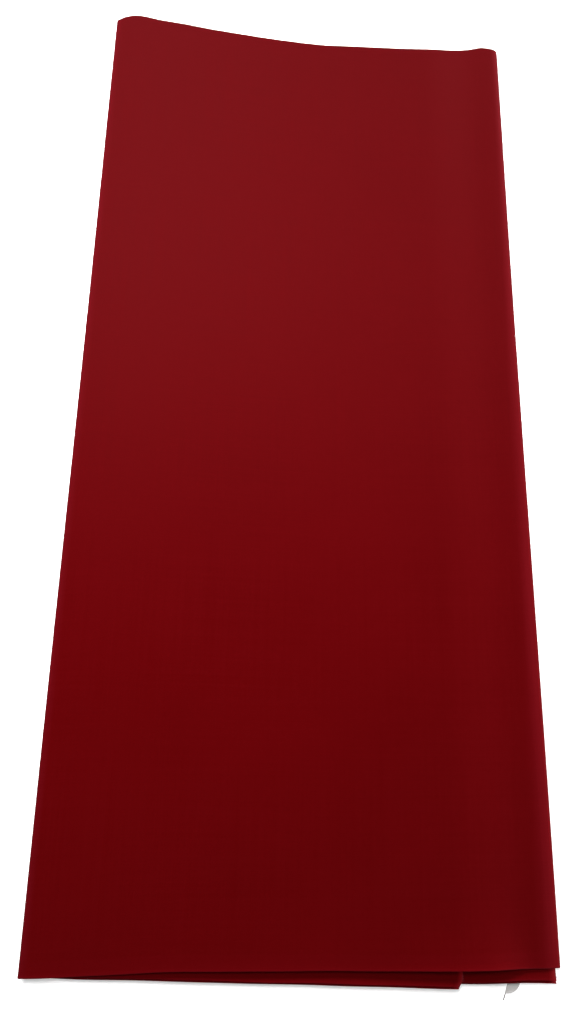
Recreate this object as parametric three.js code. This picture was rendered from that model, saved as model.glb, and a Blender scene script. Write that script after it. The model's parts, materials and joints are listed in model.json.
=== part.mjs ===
// A flat-folded cut length of plain cotton cloth, with a blank flag label on a loose thread.
//
// The cloth is doubled lengthwise, selvage to selvage, and then folded flat into four leaves.
// From the top they are the cover leaf, the tuck leaf, the inner leaf and the bottom leaf.
// The cover and bottom leaves meet in a thick bend at the right. The tuck leaf is folded
// under the cover leaf at the left, and the inner leaf over the bottom leaf at the left.
// Every leaf has an upper and a lower ply, joined at the far end by the cloth's centre fold.
//
// Millimetres, +Z up, +Y towards the centre fold. The origin is the middle of the bottom.
import * as THREE from "three";

// Driving dimensions
const STACK_WIDTH = 258; // left fold to right bend
const LEAF_LENGTH = 563; // selvage to centre fold, half of a 1126 mm wide cloth
const PLY = 0.45; // one thickness of cloth
const CLEARANCE = 0.3; // between neighbouring plies, and at every seam between two pieces
const THREAD_ROOM = 1.1; // between the bottom leaf and the inner leaf, where the thread lies
const TUCK_REACH = 208; // left fold to the tuck leaf's cut end
const INNER_SHORT = 1.9; // the inner leaf's cut end stops this far inside the bend's face
const LEFT_INSET = 1.2; // the lower left fold sits back under the upper one
const TUCK_LEAD = 2; // the tuck leaf's selvage shows this far past the cover leaf's at the left
const TUCK_SLANT = 6.5; // and this much further at its cut end
const INNER_SLIP = 6.8; // how far the inner leaf's selvage curves out past the cover leaf's
const SELVAGE_OFFSET = 1.0; // each lower ply's selvage lies this far inside the upper one's
const END_BOW = 10.5; // the far end's hollow
const BOW_MIDDLE = 4; // where the hollow is deepest
const BOW_POWERS = { left: 1.4, right: 3 }; // how sharply the hollow rises to each side
const CORNER_WIDTH = 13; // the softened corners of the far end
const CORNER_DROP = 9;
const LABEL_RADIUS = 6.3;
const LABEL_THICKNESS = 0.3;
const LABEL_OUT = 5.58; // the middle of its folded edge lies this far outside the bottom leaf
const LABEL_ACROSS = 2.0; // and this far to the right of the thread's own origin
const LABEL_DROP = 0.07; // the label's mid-height is this far below the bottom leaf's top
const LABEL_TILT = 0.104; // radians, near edge down towards the floor
const LABEL_TURN = -0.274; // radians, its folded edge runs in line with the thread
const THREAD_DIAMETER = 0.4;
const THREAD_INSET = 25.8; // from the right bend's face to where the thread leaves the leaves

// Resolution
const EDGE_STEPS = 28;
const FOLD_STEPS = 10;
const ROUND_STEPS = 6;
const LABEL_STEPS = 18;
const THREAD_SIDES = 8;
const THREAD_STEPS = 44;

const PITCH = PLY + CLEARANCE;
const RIGHT = STACK_WIDTH / 2;
const OVERHANG = TUCK_LEAD + TUCK_SLANT; // the stack is this much longer than one leaf
const FAR = (LEAF_LENGTH + OVERHANG) / 2;
const SELVAGE = FAR - LEAF_LENGTH; // the cover and bottom leaves' near end

// The underside of each ply, from the floor up.
const BOTTOM = { lower: 0, upper: PITCH };
const INNER = { lower: BOTTOM.upper + PLY + THREAD_ROOM };
INNER.upper = INNER.lower + PITCH;
const TUCK = { lower: INNER.upper + PITCH };
TUCK.upper = TUCK.lower + PITCH;
const COVER = { lower: TUCK.upper + PITCH };
COVER.upper = COVER.lower + PITCH;

// A fold joins the leaf below to the leaf above round an axis along Y. side is +1 where it
// opens to the left and its round back faces right.
function foldBetween(below, above, back, side) {
  const height = (below.lower + above.upper + PLY) / 2;
  const outer = above.upper + PLY - height;
  const inner = above.lower + PLY - height;
  return { side, z: height, x: back - side * outer, outer, inner };
}
const RIGHT_BEND = foldBetween(BOTTOM, COVER, RIGHT, 1);
const UPPER_LEFT = foldBetween(TUCK, COVER, -RIGHT, -1);
const LOWER_LEFT = foldBetween(BOTTOM, INNER, -RIGHT + LEFT_INSET, -1);

// The far end of the stack at x: a hollow that rises to a peak beside each soft corner.
function farEnd(x) {
  const side = x < BOW_MIDDLE ? "left" : "right";
  const peak = (RIGHT - CORNER_WIDTH) * Math.sign(x - BOW_MIDDLE);
  const run = Math.min(1, (x - BOW_MIDDLE) / (peak - BOW_MIDDLE));
  const hollow = END_BOW * (1 - run ** BOW_POWERS[side]);
  const inCorner = Math.max(0, (Math.abs(x) - RIGHT + CORNER_WIDTH) / CORNER_WIDTH);
  return FAR - hollow - CORNER_DROP * inCorner ** 2;
}

// How far each leaf has slipped towards the near end at x, past the cover leaf.
const noSlip = () => 0;
const tuckSlip = (x) => TUCK_LEAD + (TUCK_SLANT * (x + RIGHT)) / TUCK_REACH;
const innerSlip = (x) => INNER_SLIP * (1 - ((RIGHT - x) / STACK_WIDTH) ** 2);

const CLOTH = new THREE.MeshStandardMaterial({ color: 0x78121a, roughness: 0.85, metalness: 0 });
const PAPER = new THREE.MeshStandardMaterial({ color: 0xc8c5c2, roughness: 0.7, metalness: 0 });
const THREAD = new THREE.MeshStandardMaterial({ color: 0x4a0c14, roughness: 0.8, metalness: 0 });

function named(name, geometry, material) {
  const mesh = new THREE.Mesh(geometry, material);
  mesh.name = name;
  return mesh;
}

// Moves every vertex of a geometry to where place(x, y, z) says.
function shaped(geometry, place) {
  const points = geometry.getAttribute("position");
  for (let i = 0; i < points.count; i++) {
    points.setXYZ(i, ...place(points.getX(i), points.getY(i), points.getZ(i)));
  }
  geometry.computeVertexNormals();
  return geometry;
}

// The plies stop short of the centre fold's round strip, which is as deep as half a leaf.
const LEAF_HEIGHT = PITCH + PLY;
const CENTRE_OUTER = LEAF_HEIGHT / 2;
const CENTRE_INNER = CLEARANCE / 2;
const plyEnd = (x) => farEnd(x) - CENTRE_OUTER - CLEARANCE;

// One flat ply from left to right. inset is how far its selvage stops inside the leaf's own.
function ply(name, left, right, base, slip, inset) {
  const box = new THREE.BoxGeometry(1, 1, PLY, EDGE_STEPS, 1, 1);
  const place = (u, v, w) => {
    const x = THREE.MathUtils.lerp(left, right, u + 0.5);
    const y = THREE.MathUtils.lerp(SELVAGE + inset, plyEnd(x), v + 0.5);
    return [x, y - slip(x), base + PLY / 2 + w];
  };
  return named(name, shaped(box, place), CLOTH);
}

// A strip one unit long along z, whose section is a half ring open towards -x.
function halfRing(outer, inner, curveSegments, steps) {
  const ring = new THREE.Shape();
  ring.absarc(0, 0, outer, -Math.PI / 2, Math.PI / 2, false);
  ring.lineTo(0, inner);
  ring.absarc(0, 0, inner, Math.PI / 2, -Math.PI / 2, true);
  ring.closePath();
  return new THREE.ExtrudeGeometry(ring, { depth: 1, steps, curveSegments, bevelEnabled: false });
}

// The round strip that joins a leaf's two plies along the centre fold.
function centreFold(name, left, right, levels, slip) {
  const strip = halfRing(CENTRE_OUTER, CENTRE_INNER, ROUND_STEPS, EDGE_STEPS);
  const middle = levels.lower + LEAF_HEIGHT / 2;
  const place = (out, up, along) => {
    const x = THREE.MathUtils.lerp(left, right, along);
    return [x, farEnd(x) - slip(x) - CENTRE_OUTER + out, middle + up];
  };
  return named(name, shaped(strip, place), CLOTH);
}

// One ply's share of a fold: a half ring round the fold's axis, as long as the cover leaf.
function foldPly(name, fold, outer, inset) {
  const strip = halfRing(outer, outer - PLY, FOLD_STEPS, 1);
  const place = (out, up, along) => {
    const x = fold.x + fold.side * out;
    const back = fold.side > 0 ? along : 1 - along;
    return [x, THREE.MathUtils.lerp(plyEnd(x), SELVAGE + inset, back), fold.z + up];
  };
  return named(name, shaped(strip, place), CLOTH);
}

function fold(name, place) {
  const group = new THREE.Group();
  group.add(foldPly(name + "_outer_ply", place, place.outer, 0));
  group.add(foldPly(name + "_inner_ply", place, place.inner, SELVAGE_OFFSET));
  return group;
}

function leaf(name, left, right, levels, slip) {
  const group = new THREE.Group();
  group.add(ply(name + "_upper_ply", left, right, levels.upper, slip, 0));
  group.add(ply(name + "_lower_ply", left, right, levels.lower, slip, SELVAGE_OFFSET));
  group.add(centreFold(name + "_centre_fold", left, right, levels, slip));
  return group;
}

// A round label folded in half over the thread: its folded edge lies beside it, facing left.
// Its origin, like the thread's, is the top of the bottom leaf where the thread leaves it.
function flagLabel() {
  const half = new THREE.Shape();
  half.absarc(0, 0, LABEL_RADIUS, -Math.PI / 2, Math.PI / 2, false);
  half.closePath();
  const options = { depth: LABEL_THICKNESS, curveSegments: LABEL_STEPS, bevelEnabled: false };
  const label = named("flag_label", new THREE.ExtrudeGeometry(half, options), PAPER);
  label.rotation.set(LABEL_TILT, 0, LABEL_TURN);
  label.position.set(LABEL_ACROSS, -LABEL_OUT, -LABEL_DROP - LABEL_THICKNESS / 2);
  return label;
}

// The loose thread, from its end between the leaves, down the label's folded edge, to its tip.
const THREAD_ROUTE = [
  [-8.6, 18.95, 0.55],
  [-6.9, 17.05, 0.55],
  [-4.9, 15.45, 0.55],
  [-2.8, 14.05, 0.55],
  [-0.8, 12.45, 0.55],
  [0.9, 10.55, 0.55],
  [2.2, 8.35, 0.55],
  [3, 5.85, 0.55],
  [3.4, 3.25, 0.55],
  [3.2, 0.55, 0.48],
  [2.6, -1.95, 0.3],
  [1.85, -4.45, 0.05],
  [1.1, -6.95, -0.21],
  [0.4, -9.25, -0.46],
  [-0.2, -11.35, -0.7],
  [-0.8, -13.15, -0.87],
  [-1.5, -14.75, -0.96],
];

function looseThread() {
  const route = THREAD_ROUTE.map((point) => new THREE.Vector3(...point));
  const section = new THREE.Shape();
  for (let i = 0; i < THREAD_SIDES; i++) {
    const turn = ((i + 0.5) / THREAD_SIDES) * 2 * Math.PI;
    const [a, b] = [Math.cos(turn), Math.sin(turn)].map((v) => (v * THREAD_DIAMETER) / 2);
    if (i === 0) section.moveTo(a, b);
    else section.lineTo(a, b);
  }
  section.closePath();
  const extrudePath = new THREE.CatmullRomCurve3(route);
  const tube = new THREE.ExtrudeGeometry(section, { steps: THREAD_STEPS, extrudePath });
  return named("loose_thread", tube, THREAD);
}

function foldedCloth() {
  const cloth = new THREE.Group();
  const bendStart = RIGHT_BEND.x - CLEARANCE;
  const innerEnd = RIGHT - INNER_SHORT;
  const upperStart = UPPER_LEFT.x + CLEARANCE;
  const lowerStart = LOWER_LEFT.x + CLEARANCE;
  cloth.add(
    leaf("cover_leaf", upperStart, bendStart, COVER, noSlip),
    leaf("tuck_leaf", upperStart, -RIGHT + TUCK_REACH, TUCK, tuckSlip),
    leaf("inner_leaf", lowerStart, innerEnd, INNER, innerSlip),
    leaf("bottom_leaf", lowerStart, bendStart, BOTTOM, noSlip),
    fold("right_bend", RIGHT_BEND),
    fold("upper_left_fold", UPPER_LEFT),
    fold("lower_left_fold", LOWER_LEFT),
  );
  return cloth;
}

function labelOnThread() {
  const group = new THREE.Group();
  group.position.set(RIGHT - THREAD_INSET, SELVAGE, BOTTOM.upper + PLY);
  return group.add(flagLabel(), looseThread());
}

export default new THREE.Group().add(foldedCloth(), labelOnThread());
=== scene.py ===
import json
import math

import bmesh
import bpy
import numpy as np
from mathutils import Matrix, Vector


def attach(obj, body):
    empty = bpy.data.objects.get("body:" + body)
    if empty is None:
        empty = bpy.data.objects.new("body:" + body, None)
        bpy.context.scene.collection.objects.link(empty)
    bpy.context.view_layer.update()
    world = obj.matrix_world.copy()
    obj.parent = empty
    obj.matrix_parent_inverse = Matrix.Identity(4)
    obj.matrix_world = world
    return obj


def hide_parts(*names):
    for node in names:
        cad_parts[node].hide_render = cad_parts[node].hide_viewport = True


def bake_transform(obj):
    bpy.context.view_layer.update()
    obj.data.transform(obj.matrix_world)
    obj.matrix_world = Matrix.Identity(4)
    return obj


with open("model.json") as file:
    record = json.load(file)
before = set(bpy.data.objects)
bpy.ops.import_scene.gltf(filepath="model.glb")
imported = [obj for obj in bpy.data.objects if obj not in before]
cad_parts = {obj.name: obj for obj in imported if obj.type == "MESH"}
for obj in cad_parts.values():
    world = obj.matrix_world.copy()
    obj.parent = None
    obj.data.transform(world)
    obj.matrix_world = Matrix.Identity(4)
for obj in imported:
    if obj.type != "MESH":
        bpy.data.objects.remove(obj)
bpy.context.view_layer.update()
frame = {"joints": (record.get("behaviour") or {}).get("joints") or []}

# A flat-folded cut length of deep red cotton, doubled lengthwise and folded into four leaves.
# Sizes are in millimetres until a mesh or a curve is finished, and MM takes them to metres.
MM = 0.001


def hinge_place(name):
    """A hinge's x and z in millimetres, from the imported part."""
    x, _, z = next(j["pos_m"] for j in frame["joints"] if j["name"] == name)
    return round(x / MM, 6), round(z / MM, 6)


# The folded stack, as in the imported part
STACK_WIDTH = 258.0
RIGHT = STACK_WIDTH / 2
SELVAGE = -277.25
HALF_GAP = 0.375  # from the middle of a doubled leaf to the middle of each of its plies
PLY = 0.42
FOLD_ROUND = 0.375  # the centre fold, to the middle of the cloth
SELVAGE_OFFSET = 1.0
BOTTOM_Z, INNER_Z, TUCK_Z, COVER_Z = 0.6, 2.9, 4.4, 5.9
COVER_HINGE = hinge_place("cover_fold")
UPPER_LEFT = (*hinge_place("tuck_fold"), 0.75)  # a left fold's middle in x and z, and its radius
LOWER_LEFT = (-126.05, 1.75, 1.15)
TUCK_REACH = 208.0
TUCK_END = 79.6
INNER_END = 126.0
CLOTH_WIDTH = 1126.0  # selvage to selvage, before it was doubled

# How far each leaf has slipped out past the selvages of the bottom leaf
COVER_SLIP = 3.0
TUCK_SLIP, TUCK_SLIP_MORE = 3.0, 5.6
INNER_SLIP = 6.8

# How the stack lies
COVER_SETTLED = 4.13  # the cover leaf's middle where it lies straight on the inner leaf
SETTLE_FROM, SETTLE_TO = 77.0, 113.0
BEND_NARROW, BEND_WIDER = 5.5, 5.5  # the right bend's width at the far end, and what the near end adds
LONG_SWELL, SHORT_SWELL = 0.035, 0.012
SWELL_WAVES = 7  # plain waves that add up to one swell
SPREAD_RIGHT, SPREAD_LEFT = 0.014, 0.0075  # how much the near end has fanned out
SELVAGE_CURL = 0.018
LIP_REACH = 34.0
LIP_CURL, LIP_CURL_REACH = 0.12, 2.5
TUCK_CORNER = 2.6  # how far the tuck leaf's raw end draws back at the selvage

# The far end's outline, x against y: a long hollow between two soft corners
FAR_X = [-129, -128.2, -125.1, -121, -116.2, -110, -101, -85, -69, -53, -37, -21, -5, 11, 27, 44, 60,
         77, 93, 102, 110, 115, 118.5, 121.5, 125, 127.6, 129]
FAR_Y = [277.6, 280.9, 283.4, 285.1, 286.4, 286.0, 284.5, 282.9, 280.8, 279.0, 277.6, 276.4, 275.4,
         275.2, 276.2, 277.1, 278.0, 279.3, 281.0, 282.5, 284.5, 286.4, 287.2, 286.9, 286.7, 286.3,
         284.9]
FAR_MIDDLE = 278.0
FAR_INSET, COVERED_INSET = 0.6, 0.8  # the centre fold inside the outline, and a covered leaf's inside that

# The grid's rows, as shares of the leaf's length: close together by the selvages and the centre fold
NEAR_ROWS = [0, 0.0006, 0.0014, 0.0026, 0.0042, 0.0063, 0.009, 0.013, 0.018, 0.025, 0.034]
LEAF_ROWS = list(np.linspace(0.045, 0.985, 104))
FAR_ROWS = [0.991, 0.996, 1.0]
FOLD_STEPS = 8

# The raw ends' loose yarns
YARN_START, YARN_SPACING, YARN_STRAY = 0.2, 1.25, 0.5
YARN_ROOT = 0.45  # how much of each yarn's length stays inside the cloth
YARN_RADIUS, YARN_TIP = 0.1, 0.04

# The label and its thread
LABEL_RADIUS, LABEL_BEND, LABEL_SPLAY, LABEL_THICK = 6.3, 0.3, 0.02, 0.1
LABEL_BACK = 0.83  # how far left of its place the folded edge lies, before the label is turned
LABEL_TURN, LABEL_TILT = -0.274, 0.104  # radians
LABEL_PLACE = (105.2, -282.83, 1.13)
THREAD_RADIUS = 0.2
THREAD_ORIGIN = (103.2, SELVAGE, 1.2)
THREAD_ROUTE = [
    (-8.6, 18.95, 0.55), (-6.9, 17.05, 0.55), (-4.9, 15.45, 0.55), (-2.8, 14.05, 0.55),
    (-0.8, 12.45, 0.55), (0.9, 10.55, 0.55), (2.2, 8.35, 0.55), (3, 5.85, 0.55),
    (3.4, 3.25, 0.55), (3.2, 0.55, 0.48), (2.6, -1.95, 0.3), (1.85, -4.45, 0.05),
    (1.1, -6.95, -0.21), (0.4, -9.25, -0.46), (-0.2, -11.35, -0.7), (-0.8, -13.15, -0.87),
    (-1.5, -14.75, -0.96),
]

# Dyes, with a greyer red for a painted sheen and a darker red for painted shade
DEEP_RED, LIVELY_RED = (0.056, 0.0002, 0.0005), (0.0615, 0.0003, 0.0007)
# Painted sheen: a greyer red that stands in for the light's sheen on the cloth towards the far left
PAINTED_SHEEN_RED = (0.059, 0.0023, 0.003)
YARN_RED = (0.073, 0.0012, 0.002)
# Painted shade: a dark red for the shade in the weave's hollows
WEAVE_SHADE_RED = (0.02, 0.0001, 0.0003)
RUBBED_RED = (0.11, 0.004, 0.008)
SELVAGE_RED = (0.064, 0.0007, 0.0015)
SHEEN_RED = (1.0, 0.42, 0.5)

# The camera and the studio
CAMERA_LENS = 27.176
CAMERA_PLACE = (-0.040132, -0.167287, 0.417297)
CAMERA_TURN = (15.6736, -4.8708, 1.1171)  # degrees
FLOOR_HALF, FLOOR_DROP = 4, 0.00006
LAMPS = [  # name, place, aim, size, power, spread in degrees
    ("far_window", (-0.3, 1.1, 0.8), (-0.05, 0.0, 0), (0.5, 0.35), 38, 180),
    ("overhead_box", (-0.09, 0.07, 0.62), (-0.09, 0.07, 0), (0.25, 0.25), 2.55, 110),
    ("right_fill", (1.0, -0.12, 0.085), (0.12, -0.12, 0), (1.1, 0.13), 31, 180),
]


def smooth(x, a, b):
    """Rises softly from 0 at a to 1 at b."""
    t = np.clip((np.asarray(x, float) - a) / (b - a), 0, 1)
    return t * t * (3 - 2 * t)


def ripple(x, y, seed, length):
    """A gentle random swell, about -1 to 1, with crests about length apart."""
    rng = np.random.default_rng(seed)
    ways = np.linspace(0, math.pi, SWELL_WAVES, endpoint=False)
    out = 0
    for turn in ways + rng.uniform(0, 0.4, SWELL_WAVES):
        wave = length * rng.uniform(0.7, 1.6)
        out = out + np.sin((x * math.cos(turn) + y * math.sin(turn)) * math.tau / wave + rng.uniform(0, 6))
    return out / 4


def add_object(name, data):
    obj = bpy.data.objects.new(name, data)
    bpy.context.collection.objects.link(obj)
    return obj


def mesh_object(name, bm):
    """Ends a bmesh and puts its mesh in the scene."""
    mesh = bpy.data.meshes.new(name)
    bm.to_mesh(mesh)
    bm.free()
    return add_object(name, mesh)


# ---- the doubled cloth ----

def far_end(x):
    return np.interp(x, FAR_X, FAR_Y) + 0.12 * ripple(x, 0, 3, 40)


def cover_slip(x):
    return COVER_SLIP * (1 - smooth(x, -RIGHT, -45))


def tuck_slip(x):
    return TUCK_SLIP + TUCK_SLIP_MORE * (x + RIGHT) / TUCK_REACH


def inner_slip(x):
    return INNER_SLIP * (1 - ((RIGHT - x) / STACK_WIDTH) ** 2)


def all_slips(part, k):
    return 1.0


def inner_slips(part, k):
    """The bottom leaf doesn't slip, and the inner leaf's slip grows in round the left fold."""
    return {"leaf": 0.0, "fold": k, "inner": 1.0}[part]


def cover_height(x):
    """The cover leaf lies on the tuck leaf, and past its cut end settles on the inner leaf."""
    return COVER_Z - (COVER_Z - COVER_SETTLED) * smooth(x, SETTLE_FROM, SETTLE_TO)


def bend_width(y):
    """How far in from its face the right bend starts to turn: wider towards the near end."""
    return BEND_NARROW + BEND_WIDER * smooth(-y, -290, 290)


def left_fold(centre_x, centre_z, radius, rise):
    """Points on a half round that bulges left, from below to above as rise goes from 0 to 1."""
    turn = math.pi * (np.asarray(rise) - 0.5)
    return centre_x - radius * np.cos(turn), centre_z + radius * np.sin(turn)


def cover_path(part, k, y):
    """The middle of the cover piece in x and z: the bend, the cover leaf, the left fold."""
    face = RIGHT - PLY / 2 - HALF_GAP
    top_x = RIGHT - bend_width(y)
    top_z = cover_height(top_x)
    mid_z = (top_z + BOTTOM_Z) / 2
    if part == "bend_low":
        turn = (k - 1) * math.pi / 2
        x = face - (face - COVER_HINGE[0]) * (1 - np.cos(turn))
        return x, mid_z + (mid_z - BOTTOM_Z) * np.sin(turn)
    if part == "bend_high":
        turn = k * math.pi / 2
        return face - (face - top_x) * (1 - np.cos(turn)), mid_z + (top_z - mid_z) * np.sin(turn)
    if part == "leaf":
        x = top_x + (UPPER_LEFT[0] - top_x) * k
        return x, cover_height(x)
    if part == "fold":
        return left_fold(*UPPER_LEFT, 1 - k)
    return UPPER_LEFT[0] + k, TUCK_Z


def tuck_path(part, k, y):
    end = TUCK_END - TUCK_CORNER * (1 - smooth(y, SELVAGE - 1, SELVAGE + 4.5))
    start = UPPER_LEFT[0] + 1
    return start + (end - start) * k, TUCK_Z


def base_path(part, k, y):
    """The middle of the bottom leaf, the lower left fold and the inner leaf."""
    if part == "leaf":
        return COVER_HINGE[0] + (LOWER_LEFT[0] - COVER_HINGE[0]) * k, BOTTOM_Z
    if part == "fold":
        return left_fold(*LOWER_LEFT, k)
    return LOWER_LEFT[0] + (INNER_END - LOWER_LEFT[0]) * k, INNER_Z


def lip_height(x, from_edge):
    """The cover's near edge stands up between the left corner and the right bend, most past the
    tuck leaf's raw end, and its last few millimetres curl up a little more."""
    raised = smooth(x, -120, -20) * (1 + 1.6 * smooth(x, 20, 85)) * (1 - smooth(x, 92, 117))
    lift = np.clip(1 - from_edge / LIP_REACH, 0, 1) ** 2
    curl = np.clip(1 - from_edge / LIP_CURL_REACH, 0, 1)
    return raised * (lift + LIP_CURL * curl)


def settle(x, y, z):
    """The whole stack's lie: slow swells that grow with height, and selvages that curl up."""
    over = np.clip(SELVAGE - y, 0, None)
    low = np.clip(z / 2.2, 0, 1)
    swell = LONG_SWELL * ripple(x, y, 11, 210) + SHORT_SWELL * ripple(x, y, 12, 75)
    spread = 1 + np.where(x > 0, SPREAD_RIGHT, SPREAD_LEFT) * smooth(-y, -160, 300)
    return x * spread, z * (1 + swell) + SELVAGE_CURL * over ** 2 * low


def cloth_rows():
    """Each row is a share of the leaf's length and a turn round the centre fold: along one ply,
    round the fold and back along the other."""
    shares = NEAR_ROWS + LEAF_ROWS + FAR_ROWS
    turns = [step * math.pi / FOLD_STEPS for step in range(1, FOLD_STEPS)]
    out, back = [(v, 0.0) for v in shares], [(v, math.pi) for v in reversed(shares)]
    return out + [(1.0, turn) for turn in turns] + back


class Cloth:
    """A doubled piece of cloth, made from a flat grid and laid along a folded path.

    path(part, k, y) is the middle of the doubled cloth in x and z, a share k along a part.
    parts names the path's parts in order, with the columns of the grid that each takes.
    slips(part, k) is the share of the leaf's slip(x) that a column takes."""

    def __init__(self, name, path, parts, slip, seed, slips=all_slips, covered=True, lip=False, sway=0.2):
        self.name, self.path, self.slip, self.seed = name, path, slip, seed
        self.covered, self.lip, self.sway = covered, lip, sway
        self.columns = [(part, i / n) for part, n in parts for i in range(n)] + [(parts[-1][0], 1.0)]
        self.slip_share = np.array([slips(part, k) for part, k in self.columns])
        self.rows = cloth_rows()

    def line(self, y):
        """The path's points at each column, for a row that lies at about y."""
        return np.array([self.path(part, np.float64(k), y) for part, k in self.columns], float)

    def build(self):
        n, m = len(self.columns) - 1, len(self.rows) - 1
        bm = bmesh.new()
        bmesh.ops.create_grid(bm, x_segments=n, y_segments=m, size=1)
        spot = np.array([v.co for v in bm.verts])
        col = np.rint((spot[:, 0] + 1) / 2 * n).astype(int)
        row = np.rint((spot[:, 1] + 1) / 2 * m).astype(int)
        self.place = np.zeros((n + 1, m + 1, 3))
        flat = np.zeros((n + 1, m + 1, 2))
        for j, (share, turn) in enumerate(self.rows):
            self.place[:, j], flat[:, j, 0] = self.lay_row(share, turn)
        steps = np.linalg.norm(np.diff(self.place, axis=1), axis=2).mean(axis=0)
        flat[:, :, 1] = np.concatenate([[0], np.cumsum(steps)]) * CLOTH_WIDTH / steps.sum()
        for v, i, j in zip(bm.verts, col, row):
            v.co = self.place[i, j] * MM
        self.add_uv(bm, flat, {v: (i, j) for v, i, j in zip(bm.verts, col, row)})
        self.add_marks(bm, flat, col, row)
        self.flat_size = (flat[:, :, 0].max() * MM, flat[:, :, 1].max() * MM)
        self.thicken(bm)
        obj = mesh_object(self.name, bm)
        obj.data.shade_smooth()
        return obj

    def lay_row(self, share, turn):
        """A row's points, and how far along the cloth each of them is."""
        middle = self.line(SELVAGE + share * (FAR_MIDDLE - SELVAGE))
        step = np.gradient(middle, axis=0)
        step /= np.linalg.norm(step, axis=1)[:, None]
        out = HALF_GAP * math.cos(turn)
        x = middle[:, 0] + out * step[:, 1]
        z = middle[:, 1] - out * step[:, 0]
        x_leaf = np.clip(middle[:, 0], -RIGHT, RIGHT)
        slip = self.slip_share * self.slip(x_leaf)
        inset = SELVAGE_OFFSET * (1 - math.cos(turn)) / 2
        near = SELVAGE - slip + inset + self.sway * ripple(middle[:, 0], 50 * turn, self.seed, 46)
        far = far_end(x_leaf) - FAR_INSET
        if self.covered:
            far = far - slip - COVERED_INSET
        y = near + share * (far - near) + FOLD_ROUND * math.sin(turn)
        x, z = settle(x, y, z)
        if self.lip:
            z = z + lip_height(x, y - near)
        run = np.concatenate([[0], np.cumsum(np.linalg.norm(np.diff(middle, axis=0), axis=1))])
        return np.stack([x, y, z], axis=1), run

    def add_uv(self, bm, flat, where):
        """The cloth's own flat coordinates in metres, which the weave follows."""
        layer = bm.loops.layers.uv.new("cloth")
        for face in bm.faces:
            for loop in face.loops:
                loop[layer].uv = flat[where[loop.vert]] * MM

    def crease_wear(self, along, part, reach):
        """How rubbed each column is by the fold or bend that the part makes, if there is one."""
        inside = np.array([name == part for name, _ in self.columns])
        if not inside.any():
            return 0 * along
        return np.exp(-((along - along[inside].mean()) / reach) ** 2)

    def add_marks(self, bm, flat, col, row):
        """Where the cloth is rubbed along its folds, and how far each point is from a selvage."""
        wear = bm.verts.layers.float.new("wear")
        selvage = bm.verts.layers.float.new("selvage")
        along, across = flat[:, row[0], 0], flat[0, :, 1]
        creased = self.crease_wear(along, "fold", 1.6) + 0.55 * self.crease_wear(along, "bend_high", 4.5)
        folded = [0 < turn < math.pi for _, turn in self.rows]
        edge = np.minimum(across, across[-1] - across)
        for v, i, j in zip(bm.verts, col, row):
            v[wear] = float(min(1, creased[i] + folded[j] + 0.6 * math.exp(-edge[j] / 0.7)))
            v[selvage] = float(edge[j] * MM)

    def thicken(self, bm):
        """Gives the sheet its thickness, half of it on each side."""
        bmesh.ops.recalc_face_normals(bm, faces=bm.faces)
        bm.normal_update()
        for v, out in [(v, v.normal.copy()) for v in bm.verts]:
            v.co += out * PLY / 2 * MM
        bmesh.ops.solidify(bm, geom=bm.faces[:], thickness=PLY * MM)


def raw_end_threads(name, cloth, seed, inside, outside):
    """Short yarn ends along a cut end. inside and outside are their longest within the stack
    and past the cover leaf's selvage."""
    rng = np.random.default_rng(seed)
    bm = bmesh.new()
    edge = cloth.place[-1]
    run = np.concatenate([[0], np.cumsum(np.linalg.norm(np.diff(edge, axis=0), axis=1))])
    starts = np.arange(YARN_START, run[-1], YARN_SPACING)
    for at in starts + rng.uniform(-YARN_STRAY, YARN_STRAY, len(starts)):
        spot = Vector([float(np.interp(at, run, edge[:, k])) for k in range(3)])
        longest = outside if spot.y < SELVAGE - 0.5 else inside
        length = longest * rng.uniform(0.3, 1) + 0.5
        way = Vector((1, rng.uniform(-0.5, 0.5), rng.uniform(-0.25, 0.1))).normalized()
        turn = way.to_track_quat("Z", "Y").to_matrix().to_4x4()
        middle = spot + way * (length / 2 - YARN_ROOT)
        bmesh.ops.create_cone(bm, cap_ends=True, segments=4, radius1=YARN_RADIUS, radius2=YARN_TIP,
                              depth=length, matrix=Matrix.Translation(middle) @ turn)
    bmesh.ops.scale(bm, verts=bm.verts, vec=(MM, MM, MM))
    return mesh_object(name, bm)


# ---- the label and its thread ----

def loose_thread():
    """The thread as a curve, with the place where it leaves the cloth and its length."""
    data = bpy.data.curves.new("loose_label_thread", "CURVE")
    data.dimensions = "3D"
    data.bevel_depth = THREAD_RADIUS * MM
    data.bevel_resolution = 3
    data.use_fill_caps = True
    line = data.splines.new("POLY")
    points = [Vector(p) + Vector(THREAD_ORIGIN) for p in THREAD_ROUTE]
    line.points.add(len(points) - 1)
    for spot, p in zip(line.points, points):
        spot.co = (*(p * MM), 1)
    length = sum((b - a).length for a, b in zip(points, points[1:])) * MM
    return add_object("loose_label_thread", data), points[0] * MM, length


def fold_in_half(across):
    """Wraps a distance from the label's middle line round the thread, as x and z."""
    turn = min(abs(across) / LABEL_BEND, math.pi / 2)
    flat = max(0, abs(across) - LABEL_BEND * math.pi / 2)
    side = 1 if across > 0 else -1
    x = LABEL_BEND * (1 - math.cos(turn)) + flat
    return x, side * (LABEL_BEND * math.sin(turn) + LABEL_SPLAY * flat)


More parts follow.
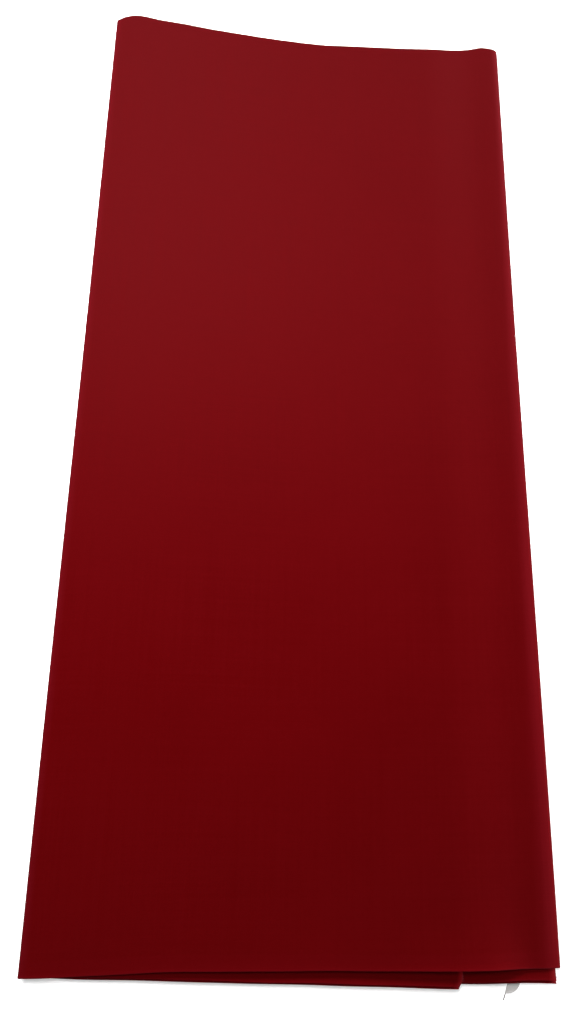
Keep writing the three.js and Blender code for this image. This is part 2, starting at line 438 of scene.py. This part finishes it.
def folded_label():
    """A round paper label, folded in half over the thread, its two halves a little apart."""
    bm = bmesh.new()
    bmesh.ops.create_grid(bm, x_segments=40, y_segments=28, size=1)
    for v in bm.verts:
        a, b = v.co.x, v.co.y
        x, z = fold_in_half(LABEL_RADIUS * a * math.sqrt(1 - b * b / 2))
        v.co = (x, LABEL_RADIUS * b * math.sqrt(1 - a * a / 2), z)
    bmesh.ops.recalc_face_normals(bm, faces=bm.faces)
    bmesh.ops.solidify(bm, geom=bm.faces[:], thickness=LABEL_THICK)
    bmesh.ops.translate(bm, verts=bm.verts, vec=(-LABEL_BACK, 0, 0))
    for angle, axis in ((LABEL_TURN, "Z"), (LABEL_TILT, "X")):
        bmesh.ops.rotate(bm, verts=bm.verts, matrix=Matrix.Rotation(angle, 3, axis))
    bmesh.ops.translate(bm, verts=bm.verts, vec=LABEL_PLACE)
    bmesh.ops.scale(bm, verts=bm.verts, vec=(MM, MM, MM))
    obj = mesh_object("folded_label", bm)
    obj.data.shade_smooth()
    return obj


# ---- finishes ----

def new_material(name, rough, specular):
    mat = bpy.data.materials.new(name)
    mat.use_nodes = True
    tree = mat.node_tree
    shader = tree.nodes["Principled BSDF"]
    shader.inputs["Roughness"].default_value = rough
    shader.inputs["Specular IOR Level"].default_value = specular
    return mat, tree, shader


def node(tree, kind, links=(), **values):
    """A new node. links are its sockets and their sources, values its settings and constants."""
    made = tree.nodes.new(kind)
    for key, value in values.items():
        if key in made.inputs:
            made.inputs[key].default_value = value
        else:
            setattr(made, key, value)
    for socket, source in dict(links).items():
        tree.links.new(source, made.inputs[socket])
    return made


def feed(tree, socket, source):
    """Sets a socket to a constant, or links it to another node's output."""
    if isinstance(source, (int, float, tuple)):
        socket.default_value = source
    else:
        tree.links.new(source, socket)


def arithmetic(tree, operation, a, b, clamp=False):
    made = node(tree, "ShaderNodeMath", operation=operation, use_clamp=clamp)
    for socket, source in zip(made.inputs, (a, b)):
        feed(tree, socket, source)
    return made.outputs[0]


def times(tree, a, b, clamp=False):
    return arithmetic(tree, "MULTIPLY", a, b, clamp)


def plus(tree, a, b):
    return arithmetic(tree, "ADD", a, b)


def minus(tree, a, b):
    return arithmetic(tree, "SUBTRACT", a, b)


def remap(tree, value, span, result=(0.0, 1.0), kind="LINEAR"):
    """Takes a value from one span of numbers to another."""
    limits = dict(zip(("From Min", "From Max", "To Min", "To Max"), (*span, *result)))
    made = node(tree, "ShaderNodeMapRange", {"Value": value}, interpolation_type=kind, **limits)
    return made.outputs["Result"]


def blend_colour(tree, share, under, over):
    mix = node(tree, "ShaderNodeMix", data_type="RGBA")
    for index, source in ((0, share), (6, under), (7, over)):
        feed(tree, mix.inputs[index], source)
    return mix.outputs[2]


def ramp(tree, amount, low, high, span=(0.0, 1.0)):
    """A colour between low and high."""
    tint = node(tree, "ShaderNodeValToRGB", {"Fac": amount})
    for stop, at, colour in zip(tint.color_ramp.elements, span, (low, high)):
        stop.position = at
        stop.color = (*colour, 1)
    return tint.outputs["Color"]


def object_place(tree):
    return node(tree, "ShaderNodeTexCoord").outputs["Object"]


def yarn_streaks(tree, uv, scale):
    """Fine uneven yarns: long thin streaks along one way of the cloth."""
    place = node(tree, "ShaderNodeMapping", {"Vector": uv}, Scale=(*scale, 1)).outputs[0]
    streak = node(tree, "ShaderNodeTexNoise", {"Vector": place}, Scale=1.0, Detail=2.0, Roughness=0.6)
    return streak.outputs["Fac"]


def weave_grid(tree, uv):
    """Small rounded bumps where the yarns cross, 0 between them."""
    waves = [node(tree, "ShaderNodeTexWave", {"Vector": uv}, Scale=700.0, bands_direction=way)
             for way in ("X", "Y")]
    return times(tree, waves[0].outputs["Fac"], waves[1].outputs["Fac"])


def painted_sheen_share(tree):
    """How much a painted sheen greys the colour: more towards the centre fold and the left, least by the
    selvage.
    """
    parts = node(tree, "ShaderNodeSeparateXYZ", {0: object_place(tree)}).outputs
    along = remap(tree, parts["Y"], (-0.17, 0.13), kind="SMOOTHSTEP")
    across = remap(tree, parts["X"], (-0.1, 0.1), (1.0, 0.5))
    return times(tree, along, across)


def cotton_colour(tree, uv, yarns, weave):
    """Slow dye clouds greyed by a painted sheen, then yarns, painted shade in the weave's hollows, rubbed
    folds and selvages.
    """
    clouds = node(tree, "ShaderNodeTexNoise", {"Vector": uv}, Scale=14.0, Detail=3.0).outputs["Fac"]
    colour = ramp(tree, clouds, DEEP_RED, LIVELY_RED, (0.3, 0.7))
    # Painted sheen: the colour greys towards the centre fold and the left
    colour = blend_colour(tree, painted_sheen_share(tree), colour, (*PAINTED_SHEEN_RED, 1))
    light_yarn = times(tree, minus(tree, yarns, 0.5), 0.55, clamp=True)
    colour = blend_colour(tree, light_yarn, colour, (*YARN_RED, 1))
    # Painted shade: the weave's hollows between yarn crossings are darkened
    weave_shade = times(tree, minus(tree, 1.0, weave), 0.16)
    colour = blend_colour(tree, weave_shade, colour, (*WEAVE_SHADE_RED, 1))
    wear = node(tree, "ShaderNodeAttribute", attribute_name="wear").outputs["Fac"]
    rubbed = times(tree, times(tree, wear, yarns), 0.34, clamp=True)
    colour = blend_colour(tree, rubbed, colour, (*RUBBED_RED, 1))
    from_selvage = node(tree, "ShaderNodeAttribute", attribute_name="selvage").outputs["Fac"]
    band = remap(tree, from_selvage, (0.0075, 0.0068))
    return blend_colour(tree, times(tree, band, 0.3), colour, (*SELVAGE_RED, 1))


def red_cotton():
    """Fine woven cotton, matt with a faint red sheen."""
    mat, tree, shader = new_material("red_cotton", 0.75, 0.0)
    uv = node(tree, "ShaderNodeUVMap", uv_map="cloth").outputs[0]
    yarns = plus(tree, yarn_streaks(tree, uv, (9, 1300)), yarn_streaks(tree, uv, (1300, 9)))
    weave = weave_grid(tree, uv)
    tree.links.new(cotton_colour(tree, uv, yarns, weave), shader.inputs["Base Color"])
    tree.links.new(plus(tree, times(tree, yarns, 0.12), 0.5), shader.inputs["Roughness"])
    shader.inputs["Sheen Weight"].default_value = 0.09
    shader.inputs["Sheen Roughness"].default_value = 0.4
    shader.inputs["Sheen Tint"].default_value = (*SHEEN_RED, 1)
    height = plus(tree, times(tree, weave, 0.5), times(tree, yarns, 0.35))
    bump = node(tree, "ShaderNodeBump", {"Height": height}, Strength=0.35, Distance=0.00012)
    tree.links.new(bump.outputs[0], shader.inputs["Normal"])
    return mat


def loose_yarn():
    """Single hairy yarns of the same dye."""
    mat, tree, shader = new_material("loose_yarn", 0.7, 0.05)
    hairs = node(tree, "ShaderNodeTexNoise", {"Vector": object_place(tree)}, Scale=2500.0)
    colour = ramp(tree, hairs.outputs["Fac"], (0.06, 0.0008, 0.002), (0.14, 0.008, 0.014))
    tree.links.new(colour, shader.inputs["Base Color"])
    shader.inputs["Sheen Weight"].default_value = 0.1
    return mat


def pale_paper():
    mat, tree, shader = new_material("label_paper", 0.7, 0.2)
    fibres = node(tree, "ShaderNodeTexNoise", {"Vector": object_place(tree)}, Scale=900.0, Detail=4.0)
    colour = ramp(tree, fibres.outputs["Fac"], (0.42, 0.405, 0.395), (0.52, 0.505, 0.495))
    tree.links.new(colour, shader.inputs["Base Color"])
    return mat


def dark_thread():
    mat, tree, shader = new_material("dark_thread", 0.7, 0.1)
    twist = node(tree, "ShaderNodeTexWave", {"Vector": object_place(tree)}, Scale=600.0)
    colour = ramp(tree, twist.outputs["Fac"], (0.010, 0.003, 0.004), (0.035, 0.012, 0.015))
    tree.links.new(colour, shader.inputs["Base Color"])
    return mat


# ---- camera and studio ----

def place_camera():
    data = bpy.data.cameras.new("studio_camera")
    data.lens = CAMERA_LENS
    data.sensor_width = 36
    data.clip_start = 0.01
    camera = add_object("studio_camera", data)
    camera.location = CAMERA_PLACE
    camera.rotation_euler = [math.radians(a) for a in CAMERA_TURN]
    bpy.context.scene.camera = camera


def area_light(name, place, aim, size, power, spread):
    data = bpy.data.lights.new(name, "AREA")
    data.shape = "RECTANGLE"
    data.size, data.size_y = size
    data.energy = power
    data.spread = math.radians(spread)
    lamp = add_object(name, data)
    lamp.location = place
    lamp.rotation_euler = (Vector(aim) - Vector(place)).to_track_quat("-Z", "Y").to_euler()


def pale_floor():
    """A plain floor just under the cloth, that glows more further away so that no horizon shows."""
    bm = bmesh.new()
    bmesh.ops.create_grid(bm, x_segments=1, y_segments=1, size=FLOOR_HALF)
    bmesh.ops.translate(bm, verts=bm.verts, vec=(0, 0, -FLOOR_DROP))
    floor = mesh_object("floor", bm)
    mat, tree, shader = new_material("pale_floor", 0.9, 0.1)
    shader.inputs["Base Color"].default_value = (0.93, 0.93, 0.93, 1)
    shader.inputs["Emission Color"].default_value = (1, 1, 1, 1)
    away = node(tree, "ShaderNodeVectorMath", {0: object_place(tree)}, operation="LENGTH").outputs["Value"]
    glow = remap(tree, away, (0.6, 1.6), (0.3, 0.75), kind="SMOOTHSTEP")
    tree.links.new(glow, shader.inputs["Emission Strength"])
    floor.data.materials.append(mat)


def soft_room():
    """Soft white light from all round, strongest near the horizon."""
    world = bpy.data.worlds.new("soft_room")
    bpy.context.scene.world = world
    world.use_nodes = True
    tree = world.node_tree
    back = tree.nodes["Background"]
    back.inputs["Color"].default_value = (1, 1, 1, 1)
    way = node(tree, "ShaderNodeTexCoord").outputs["Generated"]
    rise = node(tree, "ShaderNodeSeparateXYZ", {0: way}).outputs["Z"]
    sky = remap(tree, rise, (0.12, 0.45), (0.95, 0.2), kind="SMOOTHSTEP")
    tree.links.new(sky, back.inputs["Strength"])


def studio():
    pale_floor()
    soft_room()
    for lamp in LAMPS:
        area_light(*lamp)
    bpy.context.scene.view_settings.view_transform = "Standard"


# ---- the pieces ----

place_camera()
thread, thread_exit, thread_length = loose_thread()
label = folded_label()

cover = Cloth("cover_cloth", cover_path,
              [("bend_low", 8), ("bend_high", 12), ("leaf", 78), ("fold", 10), ("seam", 1)],
              cover_slip, 21, covered=False, lip=True)
tuck = Cloth("tuck_cloth", tuck_path, [("leaf", 74)], tuck_slip, 22)
base = Cloth("base_cloth", base_path, [("leaf", 62), ("fold", 10), ("inner", 66)],
             inner_slip, 23, slips=inner_slips, sway=0.45)
cover_cloth, tuck_cloth, base_cloth = cover.build(), tuck.build(), base.build()

tuck_ends = raw_end_threads("tuck_raw_end_threads", tuck, 31, 0.9, 1.1)
inner_ends = raw_end_threads("inner_raw_end_threads", base, 32, 0.15, 0.9)

cotton, paper, twine, yarn = red_cotton(), pale_paper(), dark_thread(), loose_yarn()
PIECES = [  # piece, finish, slot
    (tuck_ends, yarn, "red_cloth"), (inner_ends, yarn, "red_cloth"),
    (cover_cloth, cotton, "red_cloth"), (tuck_cloth, cotton, "red_cloth"), (base_cloth, cotton, "red_cloth"),
    (label, paper, "label_paper"), (thread, twine, "thread"),
]
for piece, finish, slot in PIECES:
    piece.data.materials.append(finish)

LEAF_PLIES = ["upper_ply", "lower_ply", "centre_fold"]
FOLD_PLIES = ["outer_ply", "inner_ply"]
STANDS_FOR = [
    (cover_cloth, ["cover_leaf"], ["right_bend", "upper_left_fold"]),
    (tuck_cloth, ["tuck_leaf"], []),
    (base_cloth, ["bottom_leaf", "inner_leaf"], ["lower_left_fold"]),
]
for cloth, leaves, folds in STANDS_FOR:
    for leaf in leaves:
        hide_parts(*[f"{leaf}_{ply}" for ply in LEAF_PLIES])
    for fold in folds:
        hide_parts(*[f"{fold}_{ply}" for ply in FOLD_PLIES])
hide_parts("flag_label")
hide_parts("loose_thread")

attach(tuck_ends, "tuck")
for piece in (inner_ends, label, thread, base_cloth):
    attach(piece, "base")
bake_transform(cover_cloth)
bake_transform(tuck_cloth)

studio()
